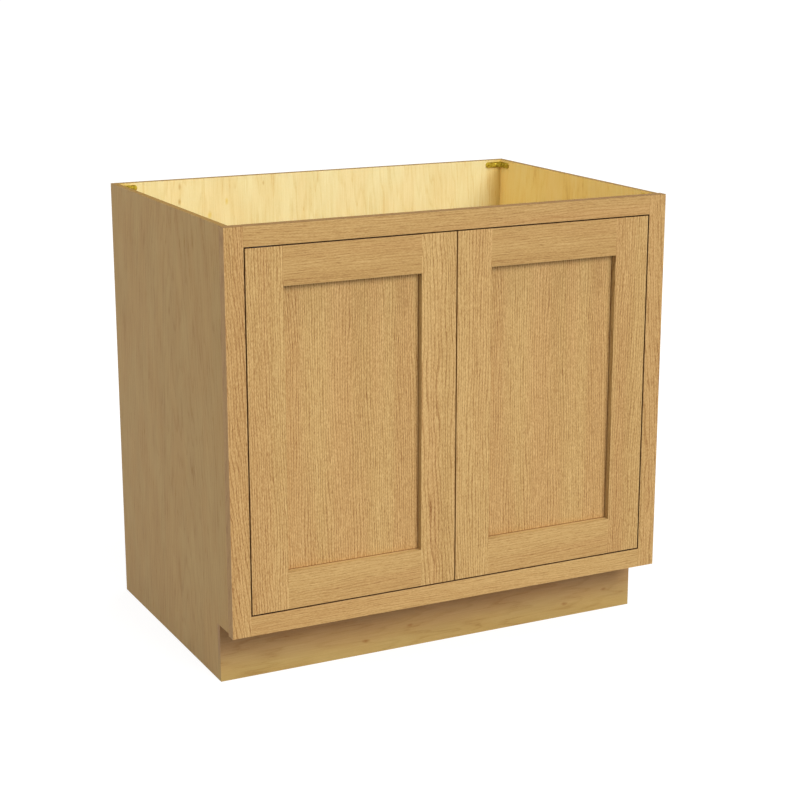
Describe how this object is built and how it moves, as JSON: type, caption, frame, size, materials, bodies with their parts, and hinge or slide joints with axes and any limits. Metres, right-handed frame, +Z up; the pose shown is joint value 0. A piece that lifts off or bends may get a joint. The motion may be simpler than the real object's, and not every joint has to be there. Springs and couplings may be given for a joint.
{
  "type": "kitchen base cabinet",
  "caption": "Kitchen base cabinet: plywood box with a toe space and open top, oak face frame, and flush inset shaker doors that swing out.",
  "frame": {"origin": "on the floor, at the middle of the plan outline", "axes": "+X to the right as seen from the front, +Y from the doors to the wall, +Z up"},
  "size_m": [0.9238, 0.637, 0.8763],
  "materials": {
    "oak": "clear satin, open grain",
    "oak_panel": "clear satin oak veneer",
    "side_plywood": "stained maple veneer outside, natural maple inside",
    "interior_plywood": "natural maple, clear",
    "inner_softwood": "sawn, unfinished",
    "toe_kick_wood": "clear satin",
    "beech": "unfinished",
    "yellow_zinc": "yellow zinc plate",
    "hinge_brass": "aged dark brown",
    "screw_steel": "zinc plate",
    "nickel_steel": "nickel plate",
    "nylon": "dark brown",
    "catch_plastic": "brown"
  },
  "bodies": {
    "cabinet": {"back_panel": "interior_plywood", "brace_screws": "screw_steel", "catch_poles": "nickel_steel", "catch_screws": "screw_steel", "deck": "interior_plywood", "deck_rib": "inner_softwood", "frame_bottom_rail": "oak", "frame_dowels": "beech", "frame_leaf_screws": "screw_steel", "frame_top_rail": "oak", "left_catch_housing": "catch_plastic", "left_frame_leaf_bottom": "hinge_brass", "left_frame_leaf_top": "hinge_brass", "left_frame_stile": "oak", "left_front_brace": "yellow_zinc", "left_rear_brace": "yellow_zinc", "left_side_panel": "side_plywood", "rear_cleat": "inner_softwood", "right_catch_housing": "catch_plastic", "right_frame_leaf_bottom": "hinge_brass", "right_frame_leaf_top": "hinge_brass", "right_frame_stile": "oak", "right_front_brace": "yellow_zinc", "right_rear_brace": "yellow_zinc", "right_side_panel": "side_plywood", "shelf": "interior_plywood", "shelf_front_strip": "oak", "shelf_pins": "nickel_steel", "stop_block": "inner_softwood", "stop_screws": "screw_steel", "thrust_washers": "nylon", "toe_kick_board": "toe_kick_wood", "toe_subrail": "inner_softwood"},
    "left_door": {"left_door_bottom_rail": "oak", "left_door_hinge_stile": "oak", "left_door_leaf_bottom": "hinge_brass", "left_door_leaf_screws": "screw_steel", "left_door_leaf_top": "hinge_brass", "left_door_meeting_stile": "oak", "left_door_panel": "oak_panel", "left_door_top_rail": "oak", "left_strike_plate": "nickel_steel", "left_strike_screws": "screw_steel"},
    "right_door": {"right_door_bottom_rail": "oak", "right_door_hinge_stile": "oak", "right_door_leaf_bottom": "hinge_brass", "right_door_leaf_screws": "screw_steel", "right_door_leaf_top": "hinge_brass", "right_door_meeting_stile": "oak", "right_door_panel": "oak_panel", "right_door_top_rail": "oak", "right_strike_plate": "nickel_steel", "right_strike_screws": "screw_steel"}
  },
  "joints": [
    {"name": "left_door_swing", "type": "hinge", "parent": "cabinet", "child": "left_door", "pos_m": [-0.4082, -0.3115, 0], "axis": [0, 0, -1], "range_deg": [0, 120]},
    {"name": "right_door_swing", "type": "hinge", "parent": "cabinet", "child": "right_door", "pos_m": [0.4082, -0.3115, 0], "axis": [0, 0, 1], "range_deg": [0, 120]}
  ]
}
